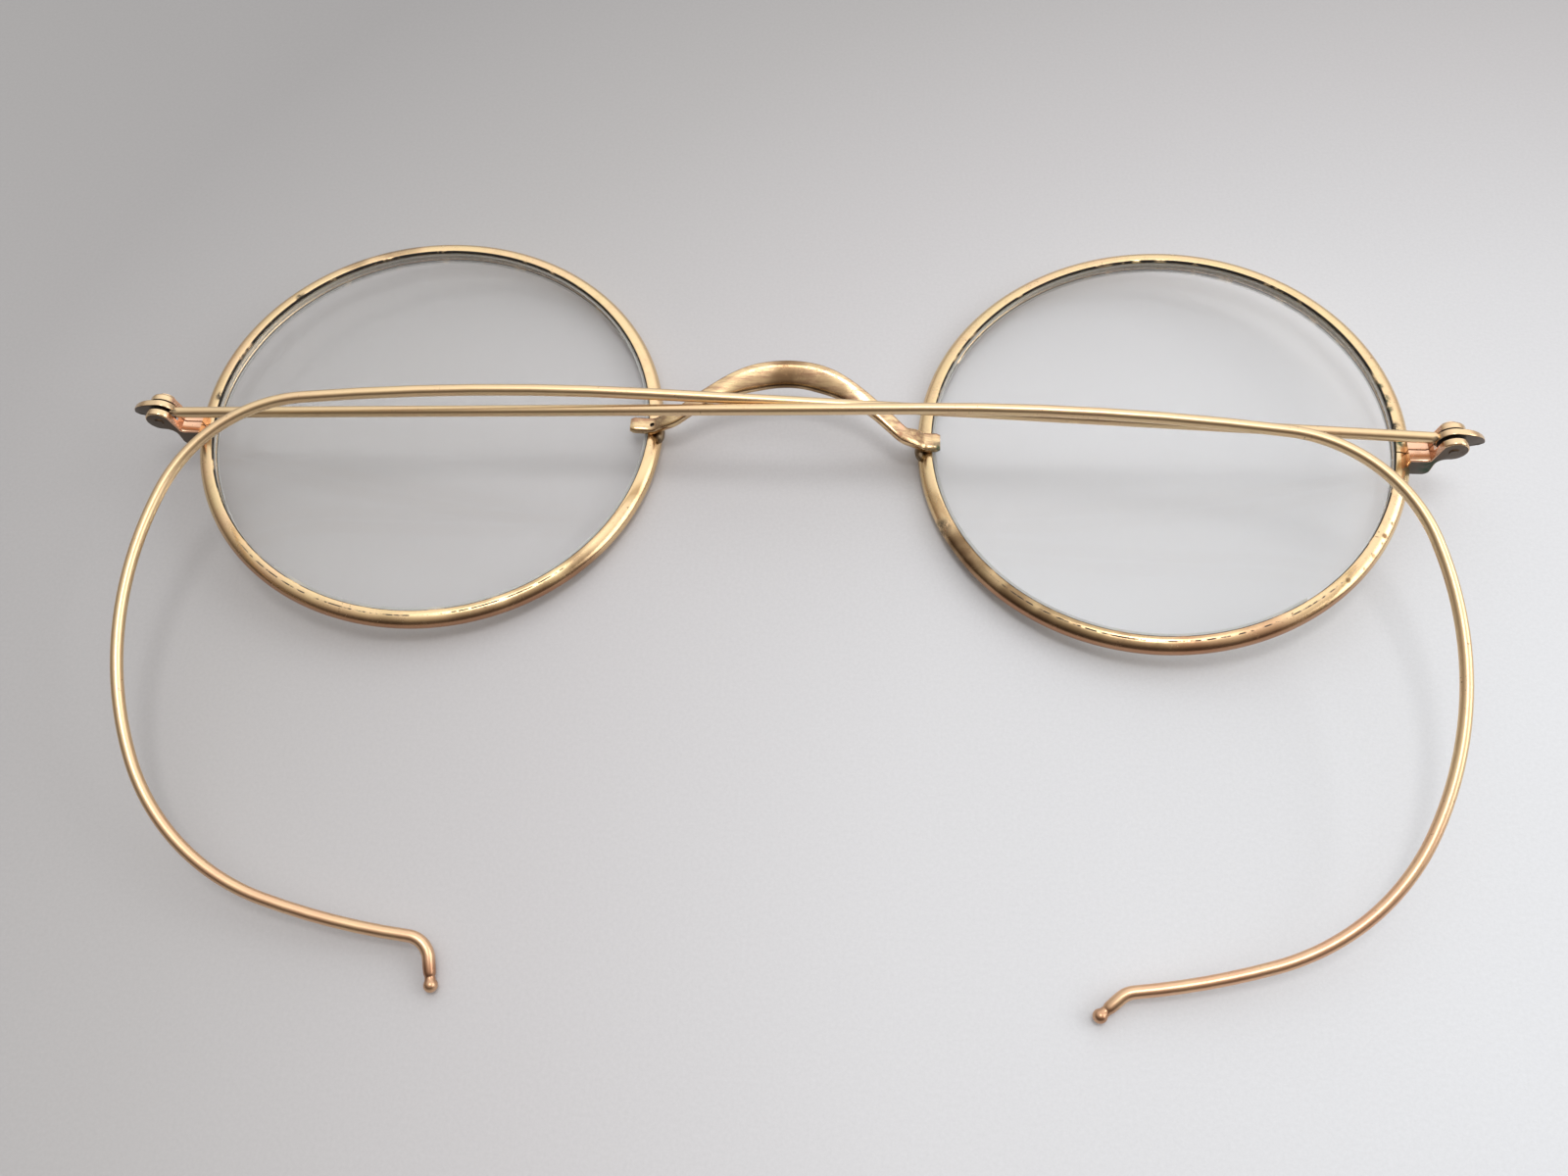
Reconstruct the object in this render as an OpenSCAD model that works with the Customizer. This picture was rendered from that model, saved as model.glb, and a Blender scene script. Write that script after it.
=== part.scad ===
/* [Lenses and eyewires] */
// Diameter of the clear view inside an eyewire
lens_view_d = 38; // [34:0.5:44]
// Distance between the two lens centres
lens_spacing = 63.2; // [60:0.2:70]
// Radial width of the eyewire
eyewire_w = 1.3; // [1.1:0.1:1.8]
// Depth of the eyewire from front to back
eyewire_depth = 1.6; // [1.4:0.1:2.4]
// Depth of the groove that holds the lens
groove_depth = 0.5; // [0.3:0.05:0.7]
// Play between the lens bevel and its groove
groove_play = 0.06; // [0.02:0.01:0.12]
// Thickness of a lens
lens_t = 1.2; // [1:0.1:1.4]
// Radius of the front surface of a lens
lens_front_r = 180; // [150:5:400]
// Angle by which each eyewire sweeps back towards its temple
face_wrap = 4.7; // [2:0.1:8]
// Gap left where an eyewire is split at its endpiece
split_gap = 0.12; // [0.05:0.01:0.3]

/* [Bridge] */
// Width of the saddle at its crest
saddle_w = 2.4; // [2:0.1:4]
// Thickness of the saddle ribbon
saddle_t = 0.9; // [0.7:0.05:1.4]
// Width of the narrow shanks beside the saddle
shank_w = 1.3; // [1:0.1:2]
// Height of the crest above the lens centres
crest_rise = 4.2; // [2:0.1:8]
// Distance of the crest behind the eyewires' back faces
crest_set = 3.2; // [1:0.1:5]
// Half of the width of the arch at its foot
arch_half = 10.1; // [9:0.1:10.8]
// Height of the right foot above the lens centres
right_foot_rise = -0.9; // [-2:0.1:2]
// Height of the left foot above the lens centres
left_foot_rise = 0.3; // [-2:0.1:2]
// Reach of the right foot over its eyewire
right_foot_len = 1.6; // [1.2:0.1:3]
// Reach of the left foot over its eyewire
left_foot_len = 2.4; // [1.2:0.1:3]
// Thickness of a brazed foot
foot_t = 0.6; // [0.4:0.05:1]
// Lean of the saddle towards the bridge of the nose
saddle_lean = 25; // [10:1:50]

/* [Endpieces and joints] */
// Drop of the joints below the lens centres
joint_drop = 2.5; // [0:0.1:5]
// Height of one half of an endpiece
half_h = 1.15; // [1.1:0.05:1.8]
// Distance of the joint pin outside the eyewire
pin_out = 2.05; // [2:0.05:4]
// Distance of the joint pin behind the eyewire
pin_back = 1.95; // [1.8:0.05:4]
// Radius of the rounded joint lugs
lug_r = 1.15; // [0.95:0.05:1.3]
// Thickness of the temple ring between the lugs
ring_t = 0.84; // [0.7:0.02:1]
// Play on each side of the temple ring
ring_play = 0.03; // [0.02:0.01:0.08]
// Diameter of the joint screw's shaft
screw_d = 0.8; // [0.6:0.05:1]
// Running clearance round the joint screw
screw_play = 0.03; // [0.01:0.005:0.06]
// Diameter of the joint screw's head
screw_head_d = 1.5; // [1.2:0.05:1.8]
// Height of the joint screw's head
screw_head_h = 0.25; // [0.2:0.05:0.6]
// Reach of the stop tab from the pin
tab_reach = 2.2; // [1.8:0.05:2.8]
// Play between the stop tab and the endpiece when open
stop_play = 0.04; // [0.02:0.01:0.1]

/* [Temples] */
// Diameter of the temple wire
wire_d = 0.95; // [0.8:0.05:1]
// Length of the straight wire from the joint pin
straight_len = 65.2; // [60:0.2:80]
// Radius of the gentle sweep into the hook
sweep_r = 202; // [120:1:300]
// Turn of the gentle sweep into the hook
sweep_turn = 8; // [4:0.5:12]
// Radius of the bend over the ear
crown_r = 12.5; // [9:0.5:18]
// Turn of the bend over the ear
crown_turn = 64.5; // [50:0.5:75]
// Radius of the curve behind the ear
back_r = 29; // [20:0.5:45]
// Turn of the curve behind the ear
back_turn = 43.5; // [30:0.5:55]
// Radius of the curve under the lobe
lobe_r = 18.7; // [12:0.5:25]
// Turn of the curve under the lobe
lobe_turn = 46.5; // [30:0.5:55]
// Radius of the tail of the hook
tail_r = 58; // [40:1:100]
// Length of the tail of the right hook
right_tail_len = 12; // [8:0.2:18]
// Length of the tail of the left hook
left_tail_len = 10; // [6:0.2:18]
// Radius of the small bend before the ball tip
tip_bend_r = 1.6; // [1:0.1:3]
// Outward turn of the right tip
right_tip_turn = 58; // [10:1:80]
// Outward turn of the left tip
left_tip_turn = 32; // [10:1:80]
// Length of the short neck between the last bend and the ball tip
tip_neck = 1.3; // [0.4:0.1:2]
// Diameter of the ball tips
ball_d = 1.25; // [1.1:0.05:2]
// Lean of the right hook towards the table
right_lean = 12.7; // [11.8:0.05:12.7]
// Lean of the left hook towards the table
left_lean = 13.9; // [13:0.05:13.9]
// Angle of the folded right temple behind the front
right_fold = 3.1; // [2:0.1:6]
// Angle of the folded left temple behind the front
left_fold = 3.5; // [2:0.1:6]
// Downward set of the right temple
right_drop = -0.2; // [-0.4:0.05:-0.2]
// Downward set of the left temple
left_drop = 0.6; // [0.6:0.05:1.5]
// Shift of each wire along the pin, up on the right and down on the left
wire_shift = 0.15; // [0.15:0.05:0.25]

/* [Hidden] */

round_fn = 96;
wire_fn = 32;
small = 0.01;

// Eyewire radii, and the height of each lens centre above the table
view_r = lens_view_d / 2;
rim_r = view_r + eyewire_w;
centre_x = lens_spacing / 2;
lip = 0.15;
bulge = eyewire_w - lip;
half_depth = eyewire_depth / 2;
centre_z = (view_r + lip) * sin(face_wrap) - half_depth * cos(face_wrap)
    + norm([bulge * sin(face_wrap), half_depth * cos(face_wrap)]);

// Joint pin, on the right side
pin_x = centre_x + rim_r * cos(face_wrap) + pin_out;
pin_y = -joint_drop;
pin_z = centre_z + rim_r * sin(face_wrap) + eyewire_depth * cos(face_wrap) + pin_back;

// Endpiece block, measured from the pin
slot_h = ring_t + 2 * ring_play;
seam = 0.03;
block_face = -0.76;
block_back = -pin_back + 0.5;
block_front = -pin_back - eyewire_depth + 0.1;
shaft_r = screw_d / 2;
bore_r = shaft_r + screw_play;
slot_w = 0.2;
ring_end = lug_r + 0.95;

// The ribbon ends over the inner edge of each foot, just outside the eyewire's edge
foot_w = 1;
foot_bed = 0.35;
foot_x = centre_x - rim_r * cos(face_wrap) + 0.25;
foot_back_z = centre_z - view_r * sin(face_wrap) + eyewire_depth * cos(face_wrap);

// How each folded temple is set on its pin
FOLD = 0;
DROP = 1;
SHIFT = 2;
LEAN = 3;
right_set = [right_fold, right_drop, wire_shift, right_lean];
left_set = [left_fold, left_drop, -wire_shift, left_lean];

// Hook bends of one side, each as a radius and a turn, and the last one turned outwards
function tail_turn(len) = len / tail_r * 180 / PI;
function hook_bends(tail_len, tip_turn) = [
    [sweep_r, sweep_turn],
    [crown_r, crown_turn],
    [back_r, back_turn],
    [lobe_r, lobe_turn],
    [tail_r, tail_turn(tail_len)],
    [tip_bend_r, -tip_turn]
];
right_bends = hook_bends(right_tail_len, right_tip_turn);
left_bends = hook_bends(left_tail_len, left_tip_turn);

// Where the wire's centre line lies after a bend: its place along and across, and its heading
function after_bend(at, bend) =
    let (side = sign(bend[1]), turned = at[2] + bend[1])
    [
        at[0] + side * bend[0] * (sin(turned) - sin(at[2])),
        at[1] + side * bend[0] * (cos(at[2]) - cos(turned)),
        turned
    ];
function bend_start(bends, i) =
    i == 0 ? [straight_len, 0, 0] : after_bend(bend_start(bends, i - 1), bends[i - 1]);
function part_bend(bends, i, share) =
    after_bend(bend_start(bends, i), [bends[i][0], bends[i][1] * share]);

// Middle of the ball tip, beyond the last bend
function ball_middle(bends) =
    let (at = bend_start(bends, len(bends)), reach = tip_neck + ball_d / 2)
    [at[0] + reach * cos(at[2]), at[1] + reach * sin(at[2])];

// The lowest reach of a temple in the wearer's downward direction, along its bends and at its ball
function temple_y(at, set) =
    pin_y + set[SHIFT] - at[0] * sin(set[DROP]) - at[1] * cos(set[LEAN]) * cos(set[DROP]);
function temple_low(bends, set) =
    min(concat(
        [
            for (i = [0 : len(bends) - 1], share = [0 : 0.05 : 1])
            temple_y(part_bend(bends, i, share), set) - wire_d / 2
        ],
        [temple_y(ball_middle(bends), set) - ball_d / 2]
    ));
lowest = min(temple_low(right_bends, right_set), temple_low(left_bends, left_set));
middle_y = (rim_r + lowest) / 2;

// Points of an arc about a centre
function arc(centre, r, from, to, steps) =
    [
        for (i = [0 : steps])
        let (a = from + (to - from) * i / steps)
        centre + r * [cos(a), sin(a)]
    ];

// Outer curve of the half-round eyewire, from its front lip to its back lip
function half_round() =
    [
        for (i = [0 : bulge_steps])
        let (a = -90 + 180 * i / bulge_steps)
        [view_r + lip + bulge * cos(a), half_depth + half_depth * sin(a)]
    ];

// Half-round channel section of the eyewire, with the lens groove on its inner side
bulge_steps = 14;
module eyewire_section() {
    polygon(concat(
        [[view_r, lip]],
        half_round(),
        [
            [view_r, eyewire_depth - lip],
            [view_r, half_depth + groove_depth],
            [view_r + groove_depth, half_depth],
            [view_r, half_depth - groove_depth]
        ]
    ));
}

// Depth of a lens surface below its rim's plane, at a distance from the lens centre
lens_steps = 8;
function lens_sag(r) = lens_front_r - sqrt(lens_front_r * lens_front_r - r * r);

// Places children, drawn flat with the front on z = 0, at the right lens centre
module at_right_lens() {
    translate([centre_x, 0, centre_z])
    rotate([0, -face_wrap, 0])
    children();
}

module eyewire() {
    seam_angle = asin(joint_drop / rim_r);
    gap_angle = split_gap / rim_r * 180 / PI;
    at_right_lens()
    rotate([0, 0, gap_angle / 2 - seam_angle])
    rotate_extrude(angle = 360 - gap_angle, $fn = round_fn)
    eyewire_section();
}

// Meniscus lens with a bevelled edge, front and back curved alike
module lens() {
    bevel_r = view_r + groove_depth - groove_play;
    edge_r = view_r - groove_play;
    bevel_h = bevel_r - edge_r;
    mid = half_depth;
    edge_sag = lens_sag(edge_r);
    at_right_lens()
    rotate_extrude($fn = round_fn)
    polygon(concat(
        [
            for (i = [0 : lens_steps])
            let (r = edge_r * i / lens_steps)
            [r, mid - lens_t / 2 - edge_sag + lens_sag(r)]
        ],
        [
            [edge_r, mid - bevel_h],
            [bevel_r, mid],
            [edge_r, mid + bevel_h]
        ],
        [
            for (i = [lens_steps : -1 : 0])
            let (r = edge_r * i / lens_steps)
            [r, mid + lens_t / 2 - edge_sag + lens_sag(r)]
        ]
    ));
}

// Outline of the saddle ribbon's cross-section, a rounded rectangle as a superellipse
section_points = 16;
section_power = 0.6;
function section(w, t) =
    [
        for (i = [0 : section_points - 1])
        let (a = 360 * i / section_points, c = cos(a), s = sin(a))
        [w / 2 * sign(c) * pow(abs(c), section_power), t / 2 * sign(s) * pow(abs(s), section_power)]
    ];

// Bridge centre line at a share of the way from the crest to a foot
arch_power = 1.1;
set_power = 0.62;
function arch(x) = pow(max(0, 1 - x * x / (arch_half * arch_half)), arch_power);
function foot_y(s) = s > 0 ? right_foot_rise : left_foot_rise;
function bridge_point(s) =
    [
        foot_x * s,
        foot_y(s) + (crest_rise - foot_y(s)) * arch(foot_x * s),
        foot_back_z + foot_t / 2 + (crest_set - foot_t / 2) * pow(max(0, 1 - s * s), set_power)
    ];
function ease(s, from, to) =
    let (x = min(1, max(0, (abs(s) - from) / (to - from))))
    x * x * (3 - 2 * x);
function ribbon_w(s) = saddle_w + (shank_w - saddle_w) * ease(s, 0.2, 0.7);
function ribbon_t(s) = saddle_t + (foot_t - saddle_t) * ease(s, 0.5, 1);
function ribbon_lean(s) = saddle_lean * (1 - ease(s, 0.35, 0.95));
function unit(v) = v / norm(v);
function ribbon_ring(s) =
    let (
        step = 0.01,
        along = unit(bridge_point(min(1, s + step)) - bridge_point(max(-1, s - step))),
        lean = ribbon_lean(s),
        wide = [0, cos(lean), sin(lean)],
        across = unit(wide - (wide * along) * along),
        up = cross(along, across)
    )
    [
        for (p = section(ribbon_w(s), ribbon_t(s)))
        bridge_point(s) + p[0] * across + p[1] * up
    ];

// Solid skin over a row of rings, each a list of as many points
module skin(rings) {
    n = len(rings[0]);
    last_ring = len(rings) - 1;
    walls = [
        for (i = [0 : last_ring - 1], j = [0 : n - 1])
        let (a = i * n + j, b = i * n + (j + 1) % n)
        each [[a, b + n, b], [a, a + n, b + n]]
    ];
    first = [for (j = [0 : n - 1]) j];
    last = [for (j = [n - 1 : -1 : 0]) last_ring * n + j];
    polyhedron([for (ring = rings) each ring], concat([first], walls, [last]));
}

// Rings are closer together near the feet, where the ribbon turns most
ribbon_rings = 44;
module ribbon() {
    skin([for (i = [0 : ribbon_rings]) ribbon_ring(sin(-90 + 180 * i / ribbon_rings))]);
}

// Flat foot brazed on the back of the eyewire, with its inner end over the lens
module bridge_foot(rise, len) {
    r = foot_w / 2;
    translate([foot_x, rise, foot_back_z - foot_bed])
    rotate([0, -face_wrap, 0]) {
        translate([0, -r, 0])
        cube([len, 2 * r, foot_t + foot_bed]);
        cylinder(r = r, h = foot_t + foot_bed, $fn = wire_fn);
    }
}

module bridge() {
    color("goldenrod")
    difference() {
        union() {
            ribbon();
            bridge_foot(right_foot_rise, right_foot_len);
            mirror([1, 0, 0])
            bridge_foot(left_foot_rise, left_foot_len);
        }
        eyewire_room();
        mirror([1, 0, 0])
        eyewire_room();
    }
}

// The space that the right eyewire fills, which the pieces brazed to it are cut away from
module eyewire_room() {
    at_right_lens()
    rotate_extrude($fn = round_fn)
    polygon(concat([[0, 0]], half_round(), [[0, eyewire_depth]]));
}

// Side view of one endpiece half, with the pin at the origin: x outwards and y to the back
module endpiece_side() {
    inner = -pin_out - 0.6;
    fillet = 0.6;
    blend_x = block_face + fillet;
    blend_y = -sqrt(pow(lug_r + fillet, 2) - blend_x * blend_x);
    reach = atan2(-blend_y, -blend_x);
    crown = 0.5;
    polygon(concat(
        [
            [inner, block_back],
            [inner, block_front]
        ],
        arc([block_face - crown, block_front + crown], crown, -90, 0, 6),
        arc([blend_x, blend_y], fillet, 180, reach, 6),
        arc([0, 0], lug_r, reach - 180, 150, 24),
        [
            [-pin_out + 0.55, block_back]
        ]
    ));
}

// Flat side profile raised along the pin, between two heights measured from the pin's middle
module raise(from, to) {
    translate([0, to, 0])
    rotate([90, 0, 0])
    linear_extrude(to - from)
    children();
}

module at_pin() {
    translate([pin_x, pin_y, pin_z])
    children();
}

// Upper half of the right endpiece: a block beside the seam and a lug beyond the ring's slot
module endpiece_half(flip) {
    color("peru")
    difference() {
        at_pin()
        mirror([0, flip, 0])
        difference() {
            raise(seam, half_h, $fn = wire_fn)
            endpiece_side();
            rotate([-90, 0, 0])
            cylinder(r = lug_r + 0.2, h = slot_h / 2, $fn = round_fn);
            translate([block_face, 0, block_front - 1])
            cube([2 * lug_r, slot_h / 2, -block_front + lug_r]);
            rotate([-90, 0, 0])
            cylinder(r = bore_r, h = half_h + 1, $fn = wire_fn);
        }
        eyewire_room();
    }
}

// Joint screw with a slotted head on top and its point showing below
module joint_screw() {
    color("darkgoldenrod")
    at_pin()
    rotate([-90, 0, 0])
    difference() {
        union() {
            translate([0, 0, -half_h - 0.12])
            cylinder(r = shaft_r, h = 2 * half_h + 0.12, $fn = wire_fn);
            translate([0, 0, half_h])
            cylinder(r = screw_head_d / 2, h = screw_head_h - 0.12, $fn = wire_fn);
            translate([0, 0, half_h + screw_head_h - 0.12])
            cylinder(r1 = screw_head_d / 2, r2 = screw_head_d / 2 - 0.12, h = 0.12, $fn = wire_fn);
        }
        translate([-screw_head_d, -slot_w / 2, half_h + screw_head_h / 2])
        cube([2 * screw_head_d, slot_w, screw_head_h]);
    }
}

// Flat ring on the pin, with a pointed stop tab outwards and a short shank to the wire
module temple_ring(set) {
    tab_low = block_face + stop_play;
    color("gold")
    at_pin()
    difference() {
        union() {
            raise(-ring_t / 2, ring_t / 2, $fn = wire_fn) {
                circle(r = lug_r, $fn = round_fn);
                polygon([
                    [0, tab_low],
                    [tab_reach - 0.15, tab_low],
                    [tab_reach, tab_low + 0.2],
                    [lug_r * cos(50), lug_r * sin(50)],
                    [0, 0]
                ]);
            }
            rotate([0, set[FOLD], 0])
            translate([-ring_end, -ring_t / 2, -wire_d / 2])
            cube([ring_end - bore_r - small, ring_t, wire_d]);
        }
        rotate([90, 0, 0])
        cylinder(r = bore_r, h = half_h * 2, center = true, $fn = wire_fn);
    }
}

// Turns children drawn along +X, with the hook's inside towards +Y, into the folded right temple
module along_temple(set) {
    at_pin()
    rotate([0, set[FOLD], 0])
    translate([0, set[SHIFT], 0])
    rotate([0, 0, set[DROP]])
    rotate([-set[LEAN], 0, 180])
    children();
}

module temple_wire(set) {
    color("gold")
    along_temple(set)
    translate([ring_end, 0, 0])
    rotate([0, 90, 0])
    cylinder(d = wire_d, h = straight_len - ring_end, $fn = wire_fn);
}

// Rings of round wire along the bends of a hook, a few degrees apart
ring_sides = 16;
ring_turn = 5;
function hook_ring(at) =
    [
        for (j = [0 : ring_sides - 1])
        let (a = 360 * j / ring_sides, r = wire_d / 2)
        [at[0] - r * cos(a) * sin(at[2]), at[1] + r * cos(a) * cos(at[2]), r * sin(a)]
    ];
function hook_rings(bends) =
    [
        hook_ring(bend_start(bends, 0)),
        for (i = [0 : len(bends) - 1])
        let (steps = max(4, ceil(abs(bends[i][1]) / ring_turn)))
        for (k = [1 : steps])
        hook_ring(part_bend(bends, i, k / steps))
    ];

module ear_hook(set, bends) {
    color("gold")
    along_temple(set)
    skin(hook_rings(bends));
}

// Ball on a short neck at the end of the hook
module ball_tip(set, bends) {
    at = bend_start(bends, len(bends));
    reach = tip_neck + ball_d / 2;
    color("gold")
    along_temple(set)
    translate([at[0], at[1], 0])
    rotate([0, 0, at[2]]) {
        rotate([0, 90, 0])
        cylinder(d = wire_d, h = reach, $fn = wire_fn);
        translate([reach, 0, 0])
        sphere(d = ball_d, $fn = wire_fn);
    }
}

// Puts the middle of the spectacles' outline over the origin, with the front on the table
module centred() {
    translate([0, -middle_y, 0])
    children();
}

module left() {
    centred()
    mirror([1, 0, 0])
    children();
}

module right_eyewire() { color("gold") centred() eyewire(); }
module left_eyewire() { color("gold") left() eyewire(); }
module right_lens() { color("azure", 0.3) centred() lens(); }
module left_lens() { color("azure", 0.3) left() lens(); }
module right_ear_hook() { centred() ear_hook(right_set, right_bends); }
module left_ear_hook() { left() ear_hook(left_set, left_bends); }
module right_ball_tip() { centred() ball_tip(right_set, right_bends); }
module left_ball_tip() { left() ball_tip(left_set, left_bends); }

right_eyewire();
left_eyewire();
right_lens();
left_lens();
centred() bridge();
centred() endpiece_half(0);  // right_endpiece_upper
centred() endpiece_half(1);  // right_endpiece_lower
left() endpiece_half(0);  // left_endpiece_upper
left() endpiece_half(1);  // left_endpiece_lower
centred() joint_screw();  // right_joint_screw
left() joint_screw();  // left_joint_screw
centred() temple_ring(right_set);  // right_temple_ring
left() temple_ring(left_set);  // left_temple_ring
centred() temple_wire(right_set);  // right_temple_wire
left() temple_wire(left_set);  // left_temple_wire
right_ear_hook();
left_ear_hook();
right_ball_tip();
left_ball_tip();
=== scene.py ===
# Wire-rim eyeglasses on a pale table: finished pieces, materials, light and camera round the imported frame.
import math

import bmesh
import bpy
from mathutils import Matrix, Vector


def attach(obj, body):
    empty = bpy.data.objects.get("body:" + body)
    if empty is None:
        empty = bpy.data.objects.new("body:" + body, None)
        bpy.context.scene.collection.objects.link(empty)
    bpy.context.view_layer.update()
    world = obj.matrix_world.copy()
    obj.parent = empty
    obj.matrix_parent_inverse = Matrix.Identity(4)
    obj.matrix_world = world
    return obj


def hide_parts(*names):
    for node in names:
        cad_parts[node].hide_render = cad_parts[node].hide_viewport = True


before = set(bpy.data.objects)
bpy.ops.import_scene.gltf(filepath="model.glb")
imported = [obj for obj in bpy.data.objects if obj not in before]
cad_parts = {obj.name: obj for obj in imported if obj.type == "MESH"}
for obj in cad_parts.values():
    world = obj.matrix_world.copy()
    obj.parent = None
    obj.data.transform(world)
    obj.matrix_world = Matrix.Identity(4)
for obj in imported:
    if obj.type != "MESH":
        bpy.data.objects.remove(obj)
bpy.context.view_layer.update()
MM = 0.001

SIDES = ("right", "left")

# ---------------------------------------------------------------- sizes, in millimetres and degrees

# eyewires and lenses: sizes, tilt to the table and places of their centres
VIEW_R, RIM_W, RIM_DEPTH, LIP = 19.0, 1.3, 1.6, 0.15
RIM_R = VIEW_R + RIM_W
GROOVE, GROOVE_PLAY, SPLIT_GAP = 0.5, 0.06, 0.12
LENS_T, LENS_CURVE = 1.2, 180.0
WRAP = math.radians(4.7)
MID_Y = 13.9652
LENS_X, LENS_Z = 31.6, 1.57467

# joints: the pin's place, then sizes round the pin
PIN = Vector((53.8817, 11.4652, 6.78264))
PIN_OUT, PIN_BACK = 2.05, 1.95
LUG_R, HALF_H, RING_T, SEAM = 1.15, 1.15, 0.84, 0.03
SLOT_H = RING_T + 0.06
SCREW_R, BORE_R, HEAD_R, HEAD_H, DRIVER_SLOT = 0.4, 0.43, 0.75, 0.25, 0.2
BLOCK_FACE = -0.76
BLOCK_BACK, BLOCK_FRONT = -PIN_BACK + 0.5, -PIN_BACK - RIM_DEPTH + 0.1
RING_END = LUG_R + 0.95

# bridge: places, rise and reach of its feet, and the ribbon from saddle to shank
FOOT_X, FOOT_Z = 11.6183, 1.61246
FOOT_RISE = {"right": -0.9, "left": 0.3}
FOOT_REACH = {"right": 1.6, "left": 2.4}
FOOT_BROADER = {"right": 0.42, "left": 0.14}
CREST_RISE, CREST_SET, ARCH_HALF, SADDLE_LEAN = 4.2, 2.9, 10.1, 25
SADDLE_W, SHANK_W, SADDLE_T, SHANK_T = 2.4, 1.45, 0.9, 0.76
SPANS = 200

# temples: one set of angles and lengths for each, then the bends they share as (radius, turn)
WIRE_R, STRAIGHT = 0.475, 65.2
SETS = {
    "right": {"fold": 3.1, "drop": -0.2, "shift": 0.15, "lean": 12.7, "lobe": 48.5, "tail": 11.5, "turn": 74},
    "left": {"fold": 3.5, "drop": 0.6, "shift": -0.15, "lean": 13.9, "lobe": 46.5, "tail": 9.9, "turn": 34},
}
SWEEP, CROWN, BACK = (202, 8), (12.5, 64.5), (29, 43.5)
LOBE_R, TAIL_R, TIP_BEND_R = 18.7, 58, 1.9
TIP_NECK, BALL_R = 1.37, 0.53

# the camera: its turns, then the point it looks at and its distance in metres
PITCH, YAW, ROLL = 62.554, 9.082, -6.249
LOOK_AT, CAMERA_DIST = Vector((0.000388, -0.000313, 0)), 0.108992
FOCAL_PIXELS, PHOTO_PIXELS, SENSOR_W = 1324.8, 1600, 36


# ---------------------------------------------------------------- placing and mesh helpers

def rot(axis, degrees):
    return Matrix.Rotation(math.radians(degrees), 4, axis)


def side_matrix(side):
    """From the right half, with y = 0 at the lens centres, to the model."""
    flip = Matrix.Diagonal((-1 if side == "left" else 1, 1, 1, 1))
    return flip @ Matrix.Translation((0, MID_Y, 0))


def lens_matrix(side):
    return side_matrix(side) @ Matrix.Translation((LENS_X, 0, LENS_Z)) @ Matrix.Rotation(-WRAP, 4, "Y")


def pin_matrix(side):
    return side_matrix(side) @ Matrix.Translation((PIN.x, PIN.y - MID_Y, PIN.z))


def temple_matrix(side):
    """From a temple's own plane, with x from the pin along the wire, to the model."""
    s = SETS[side]
    at_pin = pin_matrix(side) @ rot("Y", s["fold"]) @ Matrix.Translation((0, s["shift"], 0))
    return at_pin @ rot("Z", s["drop"]) @ rot("Z", 180) @ rot("X", -s["lean"])


def finish_mesh(name, bm, matrix, mats, sharp=35):
    """Makes an object in metres from a mesh in millimetres, with its faces turned outwards."""
    bmesh.ops.transform(bm, matrix=Matrix.Scale(MM, 4) @ matrix, verts=bm.verts)
    bmesh.ops.recalc_face_normals(bm, faces=bm.faces)
    mesh = bpy.data.meshes.new(name)
    bm.to_mesh(mesh)
    bm.free()
    for poly in mesh.polygons:
        poly.use_smooth = True
    mesh.set_sharp_from_angle(angle=math.radians(sharp))
    for mat in mats:
        mesh.materials.append(mat)
    obj = bpy.data.objects.new(name, mesh)
    bpy.context.scene.collection.objects.link(obj)
    return obj


def skin(bm, rings, closed=False):
    """Quads between rings of as many points each, with a cap on each end of an open row."""
    rows = [[bm.verts.new(p) for p in ring] for ring in rings]
    count = len(rows[0])
    for i in range(len(rows) if closed else len(rows) - 1):
        a, b = rows[i], rows[(i + 1) % len(rows)]
        for j in range(count):
            bm.faces.new((a[j], a[(j + 1) % count], b[(j + 1) % count], b[j]))
    if not closed:
        bm.faces.new(rows[0])
        bm.faces.new(list(reversed(rows[-1])))


def lathe(bm, profile, steps, start=0.0, sweep=360.0, axis_point=False):
    """Turns (radius, height) points round z; a profile that starts and ends on the axis closes by itself."""
    full = abs(sweep - 360) < 1e-6
    rings = []
    count = steps if full else steps + 1
    for i in range(count):
        a = math.radians(start + sweep * i / steps)
        rings.append([Vector((r * math.cos(a), r * math.sin(a), z)) for r, z in profile])
    if not axis_point:
        skin(bm, rings, closed=full)
        return
    low = bm.verts.new((0, 0, profile[0][1]))
    high = bm.verts.new((0, 0, profile[-1][1]))
    rows = [[low] + [bm.verts.new(p) for p in ring[1:-1]] + [high] for ring in rings]
    for i in range(len(rows)):
        a, b = rows[i], rows[(i + 1) % len(rows)]
        for j in range(len(a) - 1):
            corners = [a[j], a[j + 1], b[j + 1], b[j]]
            kept = [v for k, v in enumerate(corners) if v not in corners[:k]]
            bm.faces.new(kept)


def extrude_profile(bm, outline, low, high, low_bevel, high_bevel, steps=4):
    """Plate with its outline in x and z, thick along y, with rounded edges round both faces."""
    lower = [bm.verts.new((x, low, z)) for x, z in outline]
    upper = [bm.verts.new((x, high, z)) for x, z in outline]
    count = len(outline)
    faces = [bm.faces.new(lower), bm.faces.new(list(reversed(upper)))]
    for j in range(count):
        faces.append(bm.faces.new((lower[j], upper[j], upper[(j + 1) % count], lower[(j + 1) % count])))
    bmesh.ops.recalc_face_normals(bm, faces=faces)
    for face, bevel in ((faces[0], low_bevel), (faces[1], high_bevel)):
        bmesh.ops.bevel(bm, geom=list(face.edges), offset=bevel, segments=steps, profile=0.5, affect="EDGES")


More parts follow.
